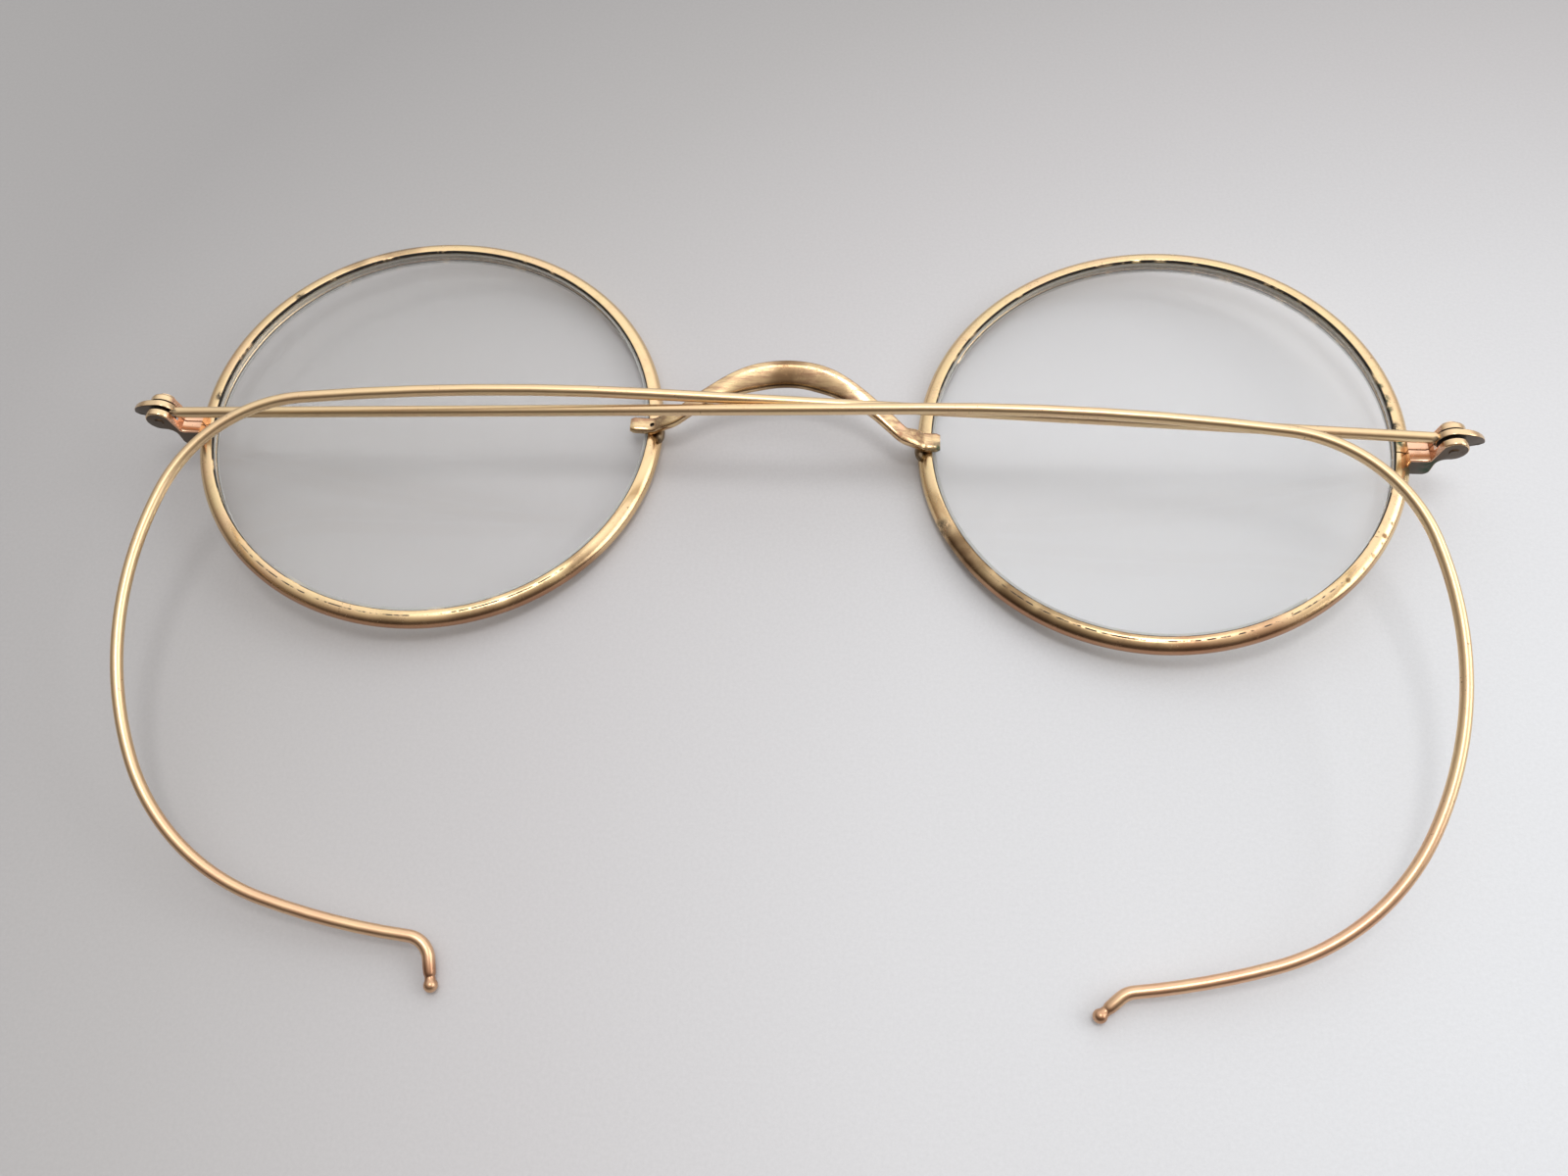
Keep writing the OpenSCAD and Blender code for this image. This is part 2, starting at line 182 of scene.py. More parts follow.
def cut_away(obj, cutters):
    """Takes cutters, closed meshes made in the same place, out of a piece."""
    for cutter in cutters:
        mod = obj.modifiers.new("cut", "BOOLEAN")
        mod.operation = "DIFFERENCE"
        mod.solver = "EXACT"
        mod.object = cutter
    bpy.context.view_layer.update()
    graph = bpy.context.evaluated_depsgraph_get()
    mesh = bpy.data.meshes.new_from_object(obj.evaluated_get(graph))
    obj.modifiers.clear()
    obj.data = mesh
    for poly in mesh.polygons:
        poly.use_smooth = True
    mesh.set_sharp_from_angle(angle=math.radians(35))
    for cutter in cutters:
        bpy.data.objects.remove(cutter)


def arc(cx, cz, r, start, stop, steps):
    """Points on part of a circle in the plane of x and z."""
    out = []
    for i in range(steps + 1):
        a = math.radians(start + (stop - start) * i / steps)
        out.append((cx + r * math.cos(a), cz + r * math.sin(a)))
    return out


# ---------------------------------------------------------------- node helpers

def new_material(name):
    mat = bpy.data.materials.new(name)
    mat.use_nodes = True
    return mat, mat.node_tree, mat.node_tree.nodes["Principled BSDF"]


def join(tree, source, target):
    tree.links.new(source, target)


def feed(tree, socket, value):
    if isinstance(value, (int, float)):
        socket.default_value = value
    elif isinstance(value, tuple):
        socket.default_value = (*value, 1) if len(value) == 3 and socket.type == "RGBA" else value
    else:
        join(tree, value, socket)


def ramp(tree, source, stops):
    """Colour ramp over a factor; stops are (position, grey or colour)."""
    node = tree.nodes.new("ShaderNodeValToRGB")
    elements = node.color_ramp.elements
    while len(elements) < len(stops):
        elements.new(0.5)
    for element, (place, tone) in zip(elements, stops):
        element.position = place
        element.color = (tone, tone, tone, 1) if isinstance(tone, (int, float)) else (*tone, 1)
    join(tree, source, node.inputs["Fac"])
    return node.outputs["Color"]


def blend(tree, factor, first, second, mode="MIX"):
    node = tree.nodes.new("ShaderNodeMix")
    node.data_type = "RGBA"
    node.blend_type = mode
    for socket, value in ((node.inputs[0], factor), (node.inputs[6], first), (node.inputs[7], second)):
        feed(tree, socket, value)
    return node.outputs[2]


def maths(tree, operation, first, second=0.5, clamp=False):
    """One sum; the third term of a multiply-add is always a half."""
    node = tree.nodes.new("ShaderNodeMath")
    node.operation = operation
    node.use_clamp = clamp
    feed(tree, node.inputs[0], first)
    feed(tree, node.inputs[1], second)
    return node.outputs[0]


def noise(tree, coords, scale, detail=3.0, rough=0.55):
    node = tree.nodes.new("ShaderNodeTexNoise")
    node.inputs["Scale"].default_value = scale
    node.inputs["Detail"].default_value = detail
    node.inputs["Roughness"].default_value = rough
    join(tree, coords, node.inputs["Vector"])
    return node.outputs["Fac"]


def distance(tree, coords, centre):
    node = tree.nodes.new("ShaderNodeVectorMath")
    node.operation = "DISTANCE"
    join(tree, coords, node.inputs[0])
    node.inputs[1].default_value = [c * MM for c in centre]
    return node.outputs["Value"]


def between(tree, value, low, high):
    """Smooth 0 to 1 as a value goes from low to high; high may be the smaller."""
    node = tree.nodes.new("ShaderNodeMapRange")
    node.interpolation_type = "SMOOTHSTEP"
    node.inputs["From Min"].default_value = low
    node.inputs["From Max"].default_value = high
    join(tree, value, node.inputs["Value"])
    return node.outputs["Result"]


# ---------------------------------------------------------------- materials

GOLD = (0.78, 0.59, 0.33)
PALE = (0.77, 0.585, 0.345)
ROSE = (0.84, 0.51, 0.34)
COPPER = (0.74, 0.42, 0.27)
UMBER = (0.42, 0.22, 0.13)
BRONZE = (0.17, 0.10, 0.05)
GRIME = (0.03, 0.025, 0.02)
VERDIGRIS = (0.035, 0.09, 0.05)
MATT = (GRIME, VERDIGRIS)


def stain_and_shade_covers(tree, coords, stains_and_shade):
    """Masks of round marks (centre, radius, colour, cover), some of them dirt and tarnish and some painted
    shade: matt ones crumble, the others stay smooth.
    """
    smooth = noise(tree, coords, 420, 3, 0.5)
    crumbly = noise(tree, coords, 1700, 4, 0.7)
    covers = []
    for centre, radius, colour, strength in stains_and_shade:
        near = between(tree, distance(tree, coords, centre), radius * MM, radius * 0.35 * MM)
        if colour in MATT:
            crumb = ramp(tree, crumbly, ((0.36, 0.0), (0.55, strength)))
        else:
            crumb = ramp(tree, smooth, ((0.3, 0.45 * strength), (0.6, strength)))
        covers.append((maths(tree, "MULTIPLY", near, crumb), colour))
    return covers


def line_covers(tree, coords, lines):
    """Masks of broken rings.

    Each is (centre, radius, width, cover, noise scale, noise edge, upper limit or None, colour).
    """
    covers = []
    for centre, radius, width, strength, scale, edge, reach, colour in lines:
        off = maths(tree, "ABSOLUTE", maths(tree, "SUBTRACT", distance(tree, coords, centre), radius * MM))
        line = maths(tree, "MULTIPLY", between(tree, off, width * MM, 0.4 * width * MM), strength)
        crumb = ramp(tree, noise(tree, coords, scale, 3, 0.6), ((edge, 0.0), (edge + 0.1, 1.0)))
        line = maths(tree, "MULTIPLY", line, crumb)
        if reach is not None:
            split = tree.nodes.new("ShaderNodeSeparateXYZ")
            join(tree, coords, split.inputs[0])
            low = between(tree, split.outputs["Y"], (reach + 2.5) * MM, (reach - 2.5) * MM)
            line = maths(tree, "MULTIPLY", line, low)
        covers.append((line, colour))
    return covers


def gold(name, base=GOLD, rough=0.18, tarnish=0.4, stains_and_shade=(), lines=(), rose=0.35, bump_depth=0.03,
         brushed=0.0):
    """Gold-filled metal: worn satin, rosy patches, tarnish, specks, brushed streaks, and round marks and
    broken lines, some of them dirt and some painted shade.
    """
    mat, tree, shader = new_material(name)
    coords = tree.nodes.new("ShaderNodeTexCoord").outputs["Object"]
    patch = noise(tree, coords, 240, 4, 0.6)
    grain = coords
    if brushed:
        grain = tree.nodes.new("ShaderNodeVectorMath")
        grain.operation = "MULTIPLY"
        grain.inputs[1].default_value = (0.13, 1, 1)
        join(tree, coords, grain.inputs[0])
        grain = grain.outputs[0]
    fine = noise(tree, grain, 2600, 5, 0.65)
    rosy = tuple((1 - rose) * a + rose * b for a, b in zip(base, ROSE))
    tone = blend(tree, ramp(tree, patch, ((0.38, 0.0), (0.66, 1.0))), base, rosy)
    dull = ramp(tree, noise(tree, coords, 900, 5, 0.7), ((0.52, 0.0), (0.8, tarnish)))
    tone = blend(tree, dull, tone, tuple(0.4 * c + 0.6 * b for c, b in zip(base, BRONZE)))
    if brushed:
        streaks = ramp(tree, fine, ((0.42, 0.0), (0.66, brushed)))
        tone = blend(tree, streaks, tone, tuple(0.5 * c for c in COPPER))
    speck = ramp(tree, noise(tree, coords, 4300, 2, 0.5), ((0.66, 0.0), (0.72, 0.75)))
    speck = maths(tree, "MULTIPLY", speck, ramp(tree, patch, ((0.5, 0.0), (0.62, 1.0))))
    tone = blend(tree, speck, tone, BRONZE)
    roughness = maths(tree, "ADD", maths(tree, "MULTIPLY", fine, 0.14), rough - 0.07)
    roughness = maths(tree, "ADD", roughness, maths(tree, "MULTIPLY", dull, 0.35))
    metal = None
    for cover, colour in stain_and_shade_covers(tree, coords, stains_and_shade) + line_covers(tree, coords, lines):
        tone = blend(tree, cover, tone, colour)
        if colour not in MATT:
            continue
        roughness = maths(tree, "ADD", roughness, maths(tree, "MULTIPLY", cover, 0.5), clamp=True)
        kept = maths(tree, "SUBTRACT", 1.0, maths(tree, "MULTIPLY", cover, 0.75), clamp=True)
        metal = kept if metal is None else maths(tree, "MULTIPLY", metal, kept)
    join(tree, tone, shader.inputs["Base Color"])
    join(tree, roughness, shader.inputs["Roughness"])
    if metal is None:
        shader.inputs["Metallic"].default_value = 1.0
    else:
        join(tree, metal, shader.inputs["Metallic"])
    bump = tree.nodes.new("ShaderNodeBump")
    bump.inputs["Strength"].default_value = bump_depth
    bump.inputs["Distance"].default_value = 0.00003
    height = maths(tree, "ADD", maths(tree, "MULTIPLY", fine, 0.6), patch)
    join(tree, height, bump.inputs["Height"])
    join(tree, bump.outputs["Normal"], shader.inputs["Normal"])
    return mat


def glass(name, tint=(0.99, 0.995, 0.99), rough=0.0, cover=0.28):
    mat, tree, shader = new_material(name)
    coords = tree.nodes.new("ShaderNodeTexCoord").outputs["Object"]
    shader.inputs["Base Color"].default_value = (*tint, 1)
    shader.inputs["Transmission Weight"].default_value = 1.0 - rough
    shader.inputs["IOR"].default_value = 1.5
    smear = ramp(tree, noise(tree, coords, 150, 4, 0.6), ((0.5, rough), (0.85, rough + 0.04)))
    join(tree, smear, shader.inputs["Roughness"])
    shader.inputs["Alpha"].default_value = cover
    return mat


def on_rim(side, angle, radius=19.7, height=1.5):
    """A place on one eyewire: angle in degrees from the temple side, upwards round the lens."""
    a = math.radians(angle)
    return tuple(lens_matrix(side) @ Vector((radius * math.cos(a), radius * math.sin(a), height)))


def rim_stains_and_shade(side, places):
    """Marks on one eyewire, some of them dirt and tarnish and some painted shade, from places of (angle,
    radius, size, colour, cover).
    """
    return tuple((on_rim(side, angle, radius), size, colour, cover)
                 for angle, radius, size, colour, cover in places)


def rim_lines(side):
    """Grime between lens and rim, fine specks below, and painted shade: a brown band along the lower outer
    side.
    """
    mid = on_rim(side, 0, 0, 1.3)
    return ((mid, 19.0, 0.13, 1.0, 450, 0.34, None, GRIME),
            (mid, 19.5, 0.075, 0.9, 1500, 0.44, 0.0, GRIME),
            # painted shade: brown band on the lower outer side of the eyewire, near the table
            (mid, 20.5, 0.55, 0.9, 260, 0.2, 1.0, UMBER))


RIM_PLACES = {
    "right": (
        (6, 19.0, 0.55, VERDIGRIS, 1.0), (9, 19.0, 0.6, VERDIGRIS, 1.0), (13, 19.0, 0.45, VERDIGRIS, 1.0),
        (-4, 19.1, 0.9, VERDIGRIS, 1.0), (0, 19.0, 0.9, GRIME, 1.0),
        (-27, 19.9, 0.22, GRIME, 1.0), (-31, 19.8, 0.34, BRONZE, 1.0), (-33, 20.0, 0.26, GRIME, 1.0),
        (-37, 19.9, 0.3, BRONZE, 1.0), (-41, 20.0, 0.24, GRIME, 1.0), (-46, 19.7, 0.3, BRONZE, 1.0),
        # painted shade: the large bronze and umber marks from 214 to 290 degrees darken the lower nasal side
        # and the bottom
        (206, 20.3, 1.2, GRIME, 0.8), (214, 20.0, 3.0, BRONZE, 0.9), (224, 19.9, 3.6, BRONZE, 0.9),
        (236, 19.8, 3.6, BRONZE, 0.8), (249, 19.7, 3.4, BRONZE, 0.7), (262, 19.6, 3.2, BRONZE, 0.65),
        (276, 19.6, 3.2, UMBER, 0.8), (290, 19.6, 2.8, UMBER, 0.6),
    ),
    "left": (
        (58, 19.8, 1.6, BRONZE, 0.5), (70, 19.9, 2.6, BRONZE, 0.6), (40, 19.0, 0.7, GRIME, 0.9),
        # painted shade: the bronze marks from 222 to 270 degrees, on this line and the next, darken the lower
        # outer side
        (222, 20.6, 2.6, BRONZE, 0.7), (236, 20.7, 3.2, BRONZE, 0.6), (250, 20.7, 3.0, BRONZE, 0.5),
        (2, 19.0, 0.7, GRIME, 1.0), (270, 20.7, 2.0, BRONZE, 0.4),
    ),
}
rim_mats = {side: gold("gold_rim_" + side, rough=0.22, tarnish=0.4 if side == "right" else 0.35,
                       lines=rim_lines(side), stains_and_shade=rim_stains_and_shade(side, RIM_PLACES[side])) for side in SIDES}
wire_gold = gold("gold_wire", base=PALE, rough=0.33, tarnish=0.15, rose=0.25, bump_depth=0.012, stains_and_shade=(
    ((-34.0, -36.0, 3.0), 30.0, COPPER, 0.6),
    ((36.0, -38.0, 3.0), 31.0, COPPER, 0.8),
    # painted shade: the two umber marks darken the tails' lowest parts, near the table
    ((-23.6, -33.4, 0.8), 1.5, UMBER, 0.9),
    ((25.2, -33.5, 0.8), 1.5, UMBER, 0.9),
    ((52.5, 11.2, 7.2), 0.4, GRIME, 1.0),
    ((-52.5, 11.2, 7.2), 0.4, GRIME, 1.0),
))
bridge_gold = gold("gold_bridge", rough=0.2, tarnish=0.9, rose=0.3, bump_depth=0.07, brushed=0.9, stains_and_shade=(
    ((0.0, 17.9, 5.2), 2.2, BRONZE, 0.7),
    ((0.5, 16.4, 4.4), 4.8, BRONZE, 0.75),
    ((4.6, 16.6, 4.2), 1.0, BRONZE, 0.7),
    ((13.0, 12.7, 1.9), 0.8, VERDIGRIS, 1.0),
    ((12.0, 12.6, 1.4), 0.7, GRIME, 0.9),
    ((-11.3, 13.6, 1.4), 0.7, GRIME, 0.9),
    ((9.8, 13.8, 3.6), 0.5, ROSE, 1.0),
    ((9.75, 13.0, 3.6), 0.3, UMBER, 1.0),
    # painted shade: the five umber marks from here darken the +y halves of both feet
    ((-11.6, 15.05, 2.2), 0.75, UMBER, 0.9),
    ((-12.6, 15.05, 2.3), 0.75, UMBER, 0.9),
    ((-13.6, 15.05, 2.4), 0.75, UMBER, 0.9),
    ((12.2, 14.2, 2.3), 0.75, UMBER, 0.8),
    ((13.1, 14.2, 2.4), 0.75, UMBER, 0.8),
    ((10.25, 12.85, 3.3), 0.26, UMBER, 1.0),
))
end_mats = {side: gold("rose_gold_" + side, base=ROSE, rough=0.24, tarnish=0.6, rose=0.6) for side in SIDES}
# dark tarnished metal, used as painted shade on faces turned towards -y and inside the joint slots; it also
# lines the bridge's pit
shade_and_tarnish_metal = gold("tarnish_and_painted_shade", base=(0.10, 0.085, 0.07), rough=0.34, tarnish=0.8, rose=0.05, stains_and_shade=(
    ((53.0, 10.3, 4.6), 1.3, VERDIGRIS, 0.8),
))
braze_metal = gold("old_braze", base=(0.22, 0.17, 0.11), rough=0.42, tarnish=0.9, rose=0.1, bump_depth=0.2)
lug_gold = gold("gold_lugs", base=PALE, rough=0.2, tarnish=0.3, rose=0.4)
lens_glass = glass("lens_glass")
lens_rim = glass("lens_edge", (0.80, 0.82, 0.79), 0.6, 0.92)


# ---------------------------------------------------------------- eyewires and lenses

def half_round(steps=20):
    """The eyewire's outer side in section, as (radius, height)."""
    bulge = RIM_W - LIP
    half = RIM_DEPTH / 2
    return [(VIEW_R + LIP + bulge * math.cos(a), half + half * math.sin(a))
            for a in (math.radians(-90 + 180 * i / steps) for i in range(steps + 1))]


def eyewire(side):
    mid = RIM_DEPTH / 2
    section = [(VIEW_R + GROOVE, mid), (VIEW_R, mid - GROOVE), (VIEW_R, 0.17), (VIEW_R + 0.03, 0.06)]
    section += half_round()
    section += [(VIEW_R + 0.03, RIM_DEPTH - 0.06), (VIEW_R, RIM_DEPTH - 0.17), (VIEW_R, mid + GROOVE)]
    gap = math.degrees(SPLIT_GAP / RIM_R)
    seam = math.degrees(math.asin((MID_Y - PIN.y) / RIM_R))
    bm = bmesh.new()
    lathe(bm, section, 240, start=gap / 2 - seam, sweep=360 - gap)
    obj = finish_mesh(side + "_rim", bm, lens_matrix(side), [rim_mats[side]], sharp=40)
    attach(obj, "front")
    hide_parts(side + "_eyewire")


def lens(side):
    mid = RIM_DEPTH / 2
    edge, bevel = VIEW_R - GROOVE_PLAY, VIEW_R + GROOVE - GROOVE_PLAY
    flat = edge - 0.2

    def sag(r):
        return LENS_CURVE - math.sqrt(LENS_CURVE * LENS_CURVE - r * r)

    low = [(edge * i / 24, mid - LENS_T / 2 - sag(edge) + sag(edge * i / 24)) for i in range(25)]
    high = [(flat * i / 24, mid + LENS_T / 2 - sag(edge) + sag(flat * i / 24)) for i in range(25)]
    bm = bmesh.new()
    lathe(bm, low + [(bevel, mid), (edge, mid + 0.4)] + high[::-1], 160, axis_point=True)
    obj = finish_mesh(side + "_clear_lens", bm, lens_matrix(side), [lens_glass, lens_rim], sharp=12)
    centre = Vector((LENS_X * (1 if side == "right" else -1), MID_Y, 0)) * MM
    # the bevelled edge is frosted
    for poly in obj.data.polygons:
        if (poly.center - centre).xy.length > (flat + 0.02) * MM:
            poly.material_index = 1
    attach(obj, "front")
    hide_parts(side + "_lens")


# ---------------------------------------------------------------- bridge

def ease(s, start, stop):
    """Smooth 0 to 1 as s goes from start to stop on either side of the middle."""
    x = min(1.0, max(0.0, (abs(s) - start) / (stop - start)))
    return x * x * (3 - 2 * x)


def bridge_point(s):
    """Centre line between the feet, with s from -1 at the left eyewire to 1 at the right one."""
    foot_y = FOOT_RISE["right" if s > 0 else "left"]
    arch = max(0.0, 1 - (FOOT_X * s / ARCH_HALF) ** 2) ** 1.1
    rise = max(0.0, 1 - s * s) ** 0.62
    return Vector((FOOT_X * s, foot_y + (CREST_RISE - foot_y) * arch, FOOT_Z + 0.3 + CREST_SET * rise))


def bridge_path():
    """Points of the ribbon from foot to foot, with the corners above the feet rounded off."""
    feet = {}
    for side in SIDES:
        flip = -1 if side == "left" else 1
        feet[side] = [Vector((flip * (FOOT_X + step), FOOT_RISE[side], FOOT_Z + 0.28 + step * math.tan(WRAP)))
                      for step in (FOOT_REACH[side] * k / 6 for k in range(6, 0, -1))]
    middle = [bridge_point(math.sin(math.radians(-84 + 168 * i / 120))) for i in range(121)]
    line = feet["left"] + middle + feet["right"][::-1]
    lengths = [0.0]
    for p, q in zip(line, line[1:]):
        lengths.append(lengths[-1] + (q - p).length)
    even, k = [], 0
    for i in range(SPANS + 1):
        at = lengths[-1] * i / SPANS
        while lengths[k + 1] < at - 1e-9:
            k += 1
        even.append(line[k].lerp(line[k + 1], (at - lengths[k]) / (lengths[k + 1] - lengths[k])))
    for _ in range(9):
        between_ends = [(even[i - 1] + 2 * even[i] + even[i + 1]) / 4 for i in range(1, SPANS)]
        even = [even[0]] + between_ends + [even[SPANS]]
    return even


def bridge_ring(path, i, count=28):
    """Section of the ribbon: it leans at the saddle, narrows to the shanks and broadens to the feet."""
    here = path[i]
    along = (path[min(SPANS, i + 1)] - path[max(0, i - 1)]).normalized()
    s = here.x / FOOT_X
    lean = math.radians(SADDLE_LEAN) * (1 - ease(s, 0.35, 0.9))
    wide = Vector((0, math.cos(lean), math.sin(lean)))
    across = (wide - wide.dot(along) * along).normalized()
    up = along.cross(across)
    w = SADDLE_W + (SHANK_W - SADDLE_W) * ease(s, 0.2, 0.7) - 0.1 * ease(s, 0.93, 1.03)
    t = SADDLE_T + (SHANK_T - SADDLE_T) * ease(s, 0.5, 1)
    broad = ease(s, 0.8, 1.0) * FOOT_BROADER["right" if s > 0 else "left"]
    w += broad
    here = here + Vector((0, broad / 2, 0))
    end = min(i, SPANS - i)
    if end < 2:  # rounds off the cut ends
        w, t = w - 0.3 + 0.14 * end, t - 0.26 + 0.13 * end
    ring = []
    for k in range(count):
        a = 2 * math.pi * k / count
        c, d = math.cos(a), math.sin(a)
        x = w / 2 * math.copysign(abs(c) ** 0.55, c)
        y = t / 2 * math.copysign(abs(d) ** 0.75, d)
        ring.append(here + x * across + y * up)
    return ring


def rounded_box(bm, low, high, bevel):
    made = bmesh.ops.create_cube(bm, size=1)["verts"]
    size = Vector(high) - Vector(low)
    middle = (Vector(high) + Vector(low)) / 2
    place = Matrix.Translation(middle) @ Matrix.Diagonal((*size, 1))
    bmesh.ops.transform(bm, matrix=place, verts=made)
    edges = list({e for v in made for e in v.link_edges})
    bmesh.ops.bevel(bm, geom=edges, offset=bevel, segments=3, profile=0.5, affect="EDGES")


def bridge():
    path = bridge_path()
    bm = bmesh.new()
    skin(bm, [bridge_ring(path, i) for i in range(SPANS + 1)])
    place = Matrix.Translation((0, MID_Y, 0))
    obj = finish_mesh("saddle_bridge", bm, place, [bridge_gold, shade_and_tarnish_metal], sharp=50)
    # the small pit in the left foot
    cut = bmesh.new()
    lathe(cut, [(0.0, 0.0), (0.12, 0.02), (0.2, 0.14), (0.22, 0.6), (0.0, 0.6)], 20, axis_point=True)
    pit_place = place @ Matrix.Translation((-12.05, 0.25, FOOT_Z + 0.47))
    pit = finish_mesh("pit", cut, pit_place, [bridge_gold, shade_and_tarnish_metal])
    for poly in pit.data.polygons:
        poly.material_index = 1
    cut_away(obj, [pit])
    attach(obj, "front")
    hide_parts("bridge")
    for side in SIDES:
        braze(side)


def braze(side):
    """Small fillet of solder between a bridge foot and the eyewire under it."""
    flip, rise = -1 if side == "left" else 1, FOOT_RISE[side]
    bm = bmesh.new()
    rings = []
    for k in range(9):
        y = rise - 1.25 + 1.75 * k / 8
        r = 0.36 * math.sqrt(max(0.0, 1 - ((y - rise + 0.375) / 0.9) ** 2)) + 0.03
        x = LENS_X - math.sqrt((VIEW_R + 1.2) ** 2 - y * y)
        rings.append([Vector((flip * (x + r * math.cos(a)), y, FOOT_Z - 0.25 + 1.2 * r * math.sin(a)))
                      for a in (2 * math.pi * j / 16 for j in range(16))])
    skin(bm, rings)
    obj = finish_mesh(side + "_foot_braze", bm, Matrix.Translation((0, MID_Y, 0)), [braze_metal], sharp=60)
    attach(obj, "front")


# ---------------------------------------------------------------- endpieces, screws and rings

def endpiece_outline():
    """Side view of the block and its round lug, in x and z from the pin."""
    inner, fillet, crown = -PIN_OUT - 0.8, 0.75, 0.6
    bx = BLOCK_FACE + fillet
    bz = -math.sqrt((LUG_R + fillet) ** 2 - bx * bx)
    reach = math.degrees(math.atan2(-bz, -bx))
    out = [(inner, BLOCK_BACK), (inner, BLOCK_FRONT)]
    out += arc(BLOCK_FACE - crown, BLOCK_FRONT + crown, crown, -90, 0, 8)
    out += arc(bx, bz, fillet, 180, reach, 8)
    out += arc(0, 0, LUG_R, reach - 180, 150, 40)[1:]
    out += [(-PIN_OUT + 0.75, BLOCK_BACK + 0.12), (-PIN_OUT + 0.55, BLOCK_BACK)]
    return out


def endpiece(side, upper):
    flip = Matrix.Diagonal((1, 1 if upper else -1, 1, 1))
    place = pin_matrix(side) @ flip
    bm = bmesh.new()
    extrude_profile(bm, endpiece_outline(), SEAM, HALF_H, 0.05, 0.3 if upper else 0.17)
    name = side + ("_upper" if upper else "_lower") + "_split_endpiece"
    obj = finish_mesh(name, bm, place, [end_mats[side], lug_gold, shade_and_tarnish_metal], sharp=40)
    # room for the temple ring: a round slot, open towards the wearer
    slot = SLOT_H / 2 + (0.05 if upper else 0.1)
    slot_cut, gap_cut = bmesh.new(), bmesh.new()
    lathe(slot_cut, [(0.0, -0.1), (LUG_R + 0.2, -0.1), (LUG_R + 0.2, slot), (0.0, slot)], 64, axis_point=True)
    rounded_box(gap_cut, (BLOCK_FACE, -0.1, BLOCK_FRONT - 1), (2 * LUG_R, slot, LUG_R), 0.01)
    cut_away(obj, [finish_mesh(name + "_slot", slot_cut, place @ rot("X", -90), []),
                   finish_mesh(name + "_gap", gap_cut, place, [])])
    # lug in gold; faces inside the slot, and the lower lug's faces turned towards -y, take the dark metal as
    # painted shade
    gold_from = (PIN.x - 0.95) * MM
    for poly in obj.data.polygons:
        if abs(poly.center.x) > gold_from and poly.center.z > (PIN.z - 1.0) * MM:
            poly.material_index = 1
        inside = abs(poly.center.y - PIN.y * MM) < 0.9 * MM and abs(poly.center.x) > (PIN.x - LUG_R) * MM
        if abs(poly.normal.y) > 0.85 and (inside or not upper and poly.normal.y < 0):
            poly.material_index = 2
    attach(obj, "front")
    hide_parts(side + "_endpiece_" + ("upper" if upper else "lower"))


def joint_screw(side):
    bm = bmesh.new()
    top, tail = HALF_H + HEAD_H, -HALF_H - 0.12
    profile = [(0, tail), (0.34, tail), (SCREW_R, tail + 0.06), (SCREW_R, HALF_H), (HEAD_R, HALF_H),
               (HEAD_R, top - 0.12), (0.72, top - 0.05), (0.63, top), (0, top)]
    lathe(bm, profile, 48, axis_point=True)
    place = pin_matrix(side) @ rot("X", -90)
    obj = finish_mesh(side + "_slotted_screw", bm, place, [lug_gold, shade_and_tarnish_metal], sharp=40)
    # faces turned towards -y take the dark metal as painted shade
    for poly in obj.data.polygons:
        poly.material_index = int(poly.normal.y < -0.6)
    cut = bmesh.new()
    half = DRIVER_SLOT / 2
    rounded_box(cut, (-1.5, -half, HALF_H + HEAD_H / 2), (1.5, half, HALF_H + 1), 0.01)
    cut_away(obj, [finish_mesh(side + "_screw_slot", cut, place, [])])
    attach(obj, "front")
    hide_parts(side + "_joint_screw")


def temple_ring(side):
    """Flat ring round the screw with a leaf-shaped stop tab that thins towards its tip."""
    low, radius = BLOCK_FACE + 0.04, LUG_R + 0.05
    dip = math.degrees(math.asin(low / radius))
    outline = arc(0, 0, radius, 84, 360 + dip, 48)
    outline += [(2.4, low), (2.72, low + 0.02), (2.85, low + 0.12), (2.8, low + 0.36), (2.6, 0.02),
                (2.28, 0.4), (1.85, 0.74), (1.4, 0.98), (0.95, 1.11)]
    bm = bmesh.new()
    extrude_profile(bm, outline, -0.22, RING_T / 2 - 0.03, 0.08, 0.1)
    for vert in bm.verts:
        thin = 0.7 * min(1.0, max(0.0, (vert.co.x - 1.3) / 1.5)) ** 1.3
        vert.co.y = RING_T / 2 - (RING_T / 2 - vert.co.y) * (1 - thin)
    obj = finish_mesh(side + "_stop_ring", bm, pin_matrix(side), [lug_gold, shade_and_tarnish_metal], sharp=40)
    cut = bmesh.new()
    lathe(cut, [(0, -1), (BORE_R, -1), (BORE_R, 1), (0, 1)], 48, axis_point=True)
    cut_away(obj, [finish_mesh(side + "_ring_bore", cut, pin_matrix(side) @ rot("X", -90), [])])
    # faces turned towards -y take the dark metal as painted shade
    for poly in obj.data.polygons:
        poly.material_index = int(poly.normal.y < -0.75)
    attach(obj, side + "_temple")
    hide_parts(side + "_temple_ring")


# ---------------------------------------------------------------- temple wires

